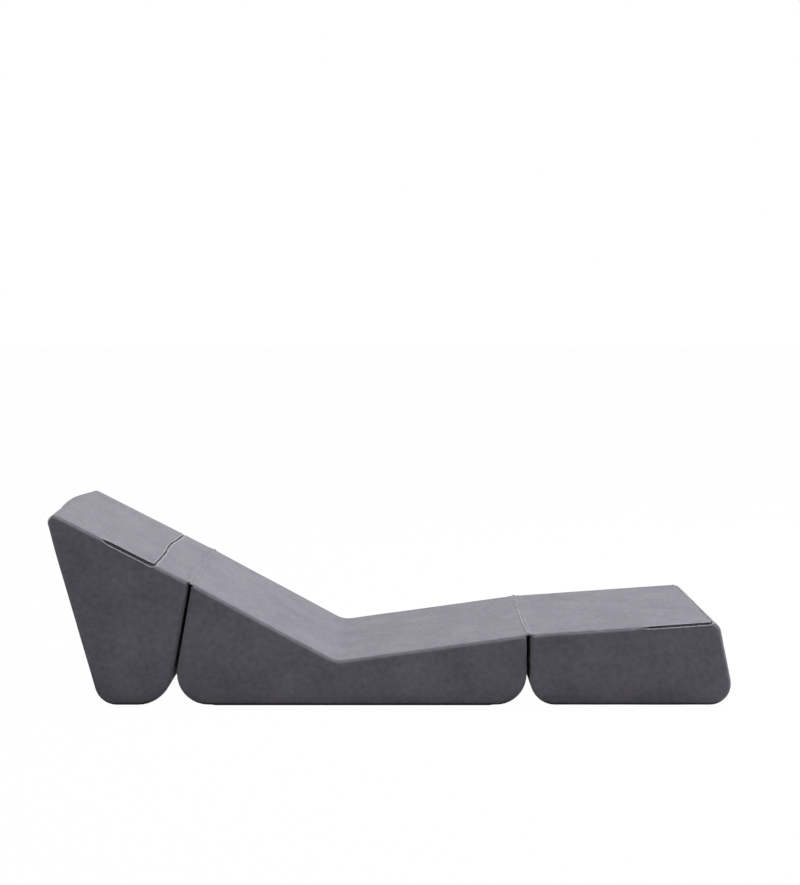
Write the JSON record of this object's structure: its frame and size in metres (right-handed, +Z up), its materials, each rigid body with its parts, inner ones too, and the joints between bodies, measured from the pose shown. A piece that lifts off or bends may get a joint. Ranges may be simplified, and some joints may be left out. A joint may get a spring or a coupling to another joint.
{
  "type": "convertible chair bed",
  "caption": "Upholstered folding chair bed: a bent seat block with a head block and a foot block on sewn fabric hinges, each in a zipped cover.",
  "frame": {"origin": "on the floor, under the seat block, at the middle of the open bed's length and width", "axes": "+X along the bed towards the foot end, +Y across the bed towards the side that carries the zip sliders, +Z up; the bed lies open, as in the picture"},
  "size_m": [1.9998, 0.7051, 0.564],
  "materials": {
    "cover_fabric": "matt short-pile microsuede, grey",
    "base_fabric": "matt black non-slip fabric",
    "firm_foam": "open-cell foam",
    "soft_foam": "open-cell foam",
    "fibre_wadding": "polyester wadding",
    "zip_tape": "woven tape",
    "zip_coil": "nylon coil",
    "zip_metal": "dark painted die casting"
  },
  "bodies": {
    "head_block": {"head_foam_core": "firm_foam", "head_comfort_foam": "soft_foam", "head_fibre_pad": "fibre_wadding", "head_cover_band": "cover_fabric", "head_cover_near_side": "cover_fabric", "head_cover_far_side": "cover_fabric", "head_base_panel": "base_fabric", "head_zip_flap_lip": "cover_fabric", "head_zip_fixed_lip": "cover_fabric", "head_zip_flap_tape": "zip_tape", "head_zip_fixed_tape": "zip_tape", "head_zip_coil": "zip_coil", "head_zip_end_stops": "zip_metal"},
    "seat_block": {"seat_foam_core": "firm_foam", "seat_comfort_foam": "soft_foam", "seat_fibre_pad": "fibre_wadding", "seat_cover_band": "cover_fabric", "seat_cover_near_side": "cover_fabric", "seat_cover_far_side": "cover_fabric", "seat_base_panel": "base_fabric", "seat_zip_flap_lip": "cover_fabric", "seat_zip_fixed_lip": "cover_fabric", "seat_zip_flap_tape": "zip_tape", "seat_zip_fixed_tape": "zip_tape", "seat_zip_coil": "zip_coil", "seat_zip_end_stops": "zip_metal", "head_hinge_strip": "cover_fabric", "foot_hinge_strip": "cover_fabric"},
    "foot_block": {"foot_foam_core": "firm_foam", "foot_comfort_foam": "soft_foam", "foot_fibre_pad": "fibre_wadding", "foot_cover_band": "cover_fabric", "foot_cover_near_side": "cover_fabric", "foot_cover_far_side": "cover_fabric", "foot_base_panel": "base_fabric", "foot_zip_flap_lip": "cover_fabric", "foot_zip_fixed_lip": "cover_fabric", "foot_zip_flap_tape": "zip_tape", "foot_zip_fixed_tape": "zip_tape", "foot_zip_coil": "zip_coil", "foot_zip_end_stops": "zip_metal"},
    "head_zip_slider": {"head_zip_slider": "zip_metal"},
    "head_zip_pull": {"head_zip_pull": "zip_metal"},
    "seat_zip_slider": {"seat_zip_slider": "zip_metal"},
    "seat_zip_pull": {"seat_zip_pull": "zip_metal"},
    "foot_zip_slider": {"foot_zip_slider": "zip_metal"},
    "foot_zip_pull": {"foot_zip_pull": "zip_metal"}
  },
  "joints": [
    {"name": "head_fold", "type": "hinge", "parent": "seat_block", "child": "head_block", "pos_m": [-0.58162, 0, 0.366], "axis": [0, 1, 0], "range_deg": [0, 181.2]},
    {"name": "foot_fold", "type": "hinge", "parent": "seat_block", "child": "foot_block", "pos_m": [0.40526, 0, 0.21415], "axis": [0, -1, 0], "range_deg": [0, 183.9]},
    {"name": "head_zip_run", "type": "slide", "parent": "head_block", "child": "head_zip_slider", "axis": [0.8894, 0, -0.4571], "range_m": [0, 0.15]},
    {"name": "head_zip_pull_swing", "type": "hinge", "parent": "head_zip_slider", "child": "head_zip_pull", "pos_m": [-0.83331, 0.35182, 0.48429], "axis": [0.4203, -0.3929, 0.8179], "range_deg": [0, 180]},
    {"name": "seat_zip_run", "type": "slide", "parent": "seat_block", "child": "seat_zip_slider", "axis": [0, -1, 0], "range_m": [0, 0.555]},
    {"name": "seat_zip_pull_swing", "type": "hinge", "parent": "seat_zip_slider", "child": "seat_zip_pull", "pos_m": [-0.61036, 0.2759, 0.03754], "axis": [0.5878, 0, -0.809], "range_deg": [0, 180]},
    {"name": "foot_zip_run", "type": "slide", "parent": "foot_block", "child": "foot_zip_slider", "axis": [0.9976, 0, 0.0698], "range_m": [0, 0.192]},
    {"name": "foot_zip_pull_swing", "type": "hinge", "parent": "foot_zip_slider", "child": "foot_zip_pull", "pos_m": [0.73832, 0.35182, 0.22758], "axis": [-0.0641, -0.3929, 0.9174], "range_deg": [0, 180]}
  ]
}
